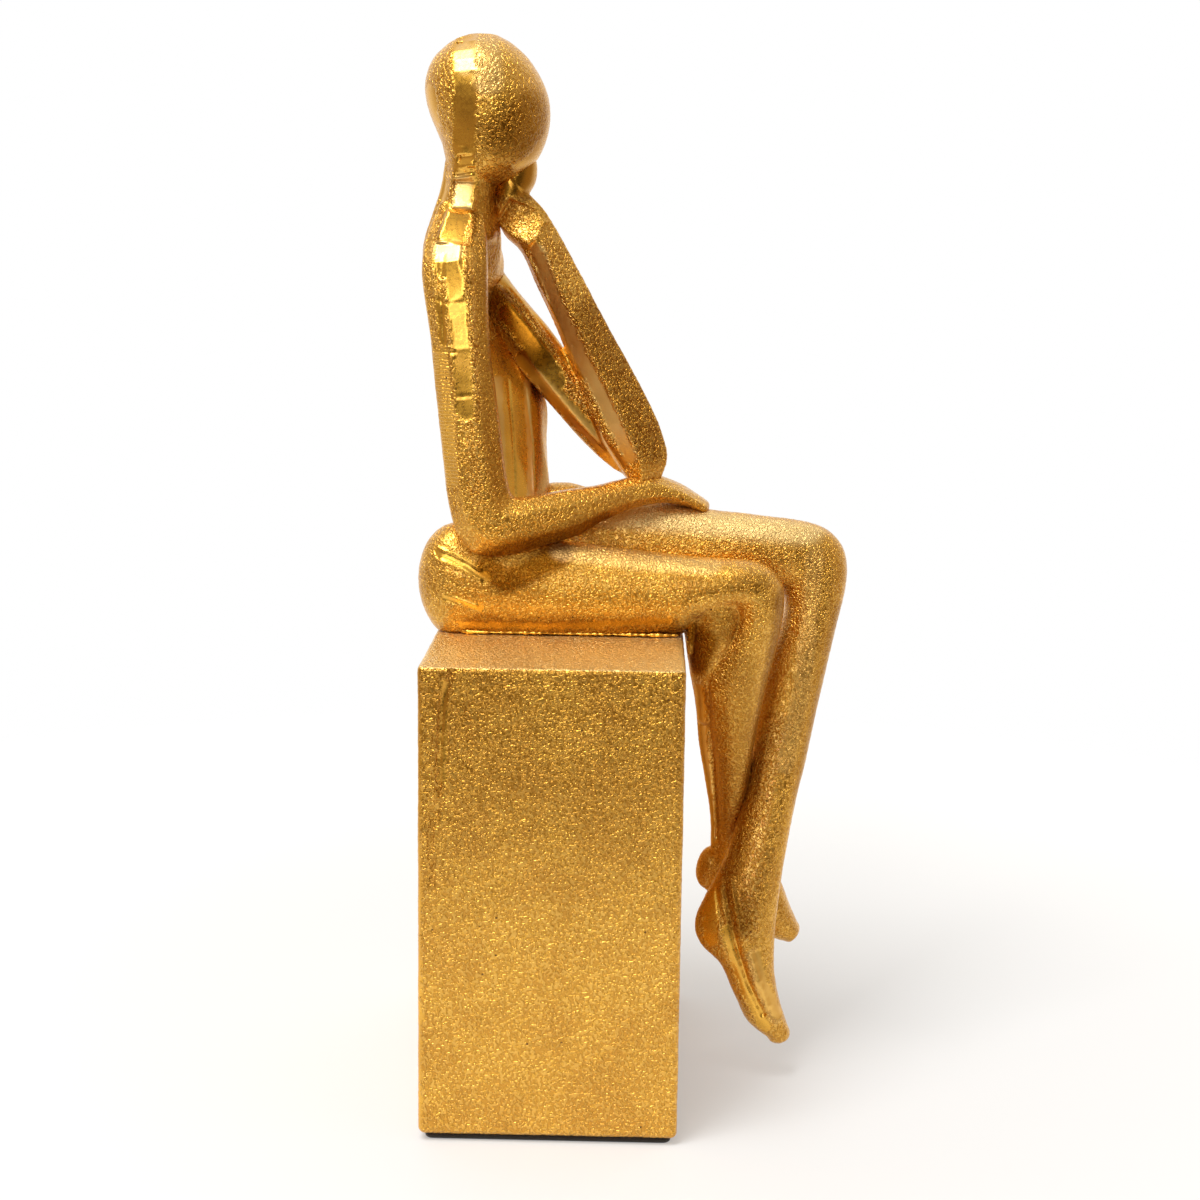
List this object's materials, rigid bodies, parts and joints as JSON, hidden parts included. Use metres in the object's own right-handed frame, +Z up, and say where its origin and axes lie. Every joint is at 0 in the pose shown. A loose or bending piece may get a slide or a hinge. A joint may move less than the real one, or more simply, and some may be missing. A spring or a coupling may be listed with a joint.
{
  "type": "seated thinker figurine",
  "caption": "Tall shelf ornament: a slim faceless figure with a metallic gold finish sits on a block plinth, legs crossed, chin on fist.",
  "frame": {"origin": "centre of the felt's underside, on the surface the ornament stands on", "axes": "+X the way the figure faces, +Y towards the figure's left, +Z up"},
  "size_m": [0.1053, 0.1, 0.254],
  "materials": {
    "gilded_resin": "cast resin with a warm metallic gold coat, fine wrinkled relief, satin",
    "plaster": "rough cast plaster",
    "hardboard": "raw pressed board",
    "felt": "dark felt",
    "steel_pin": "plain drawn steel"
  },
  "bodies": {
    "root": {"plinth_shell": "gilded_resin", "ballast_block": "plaster", "base_board": "hardboard", "felt_pad": "felt", "right_leg": "gilded_resin", "left_leg": "gilded_resin", "torso_and_head": "gilded_resin", "right_arm": "gilded_resin", "left_arm": "gilded_resin", "seat_pin_right": "steel_pin", "seat_pin_left": "steel_pin", "hip_pin_right": "steel_pin", "hip_pin_left": "steel_pin", "shoulder_pin_right": "steel_pin", "shoulder_pin_left": "steel_pin"}
  },
  "joints": []
}
